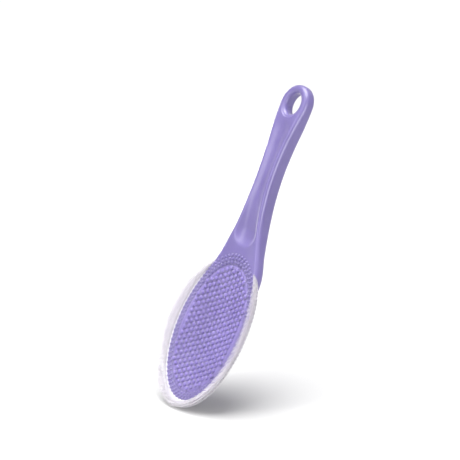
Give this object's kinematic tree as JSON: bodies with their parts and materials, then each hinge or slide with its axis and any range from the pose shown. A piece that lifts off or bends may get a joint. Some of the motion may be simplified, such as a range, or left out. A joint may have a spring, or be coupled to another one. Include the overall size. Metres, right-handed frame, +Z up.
{
  "type": "silicone scrub brush",
  "caption": "Long-handled silicone scrub brush: oval nubbed massage pad, soft translucent bristle collar and a flat handle with a hanging hole.",
  "frame": {"origin": "centre of the hanging hole, halfway through the handle", "axes": "+Z up the handle towards the hanging hole, -Y out of the nubbed face, +X to the right of the nubbed face"},
  "size_m": [0.09, 0.0195, 0.2645],
  "materials": {
    "core_plastic": "moulded rigid polypropylene, natural off-white, hidden inside",
    "lilac_silicone": "satin lilac silicone rubber, soft sheen",
    "clear_silicone": "translucent milky silicone rubber"
  },
  "bodies": {
    "root": {"stiffening_core": "core_plastic", "handle_skin": "lilac_silicone", "massage_pad": "lilac_silicone", "bristle_collar": "clear_silicone"}
  },
  "joints": []
}
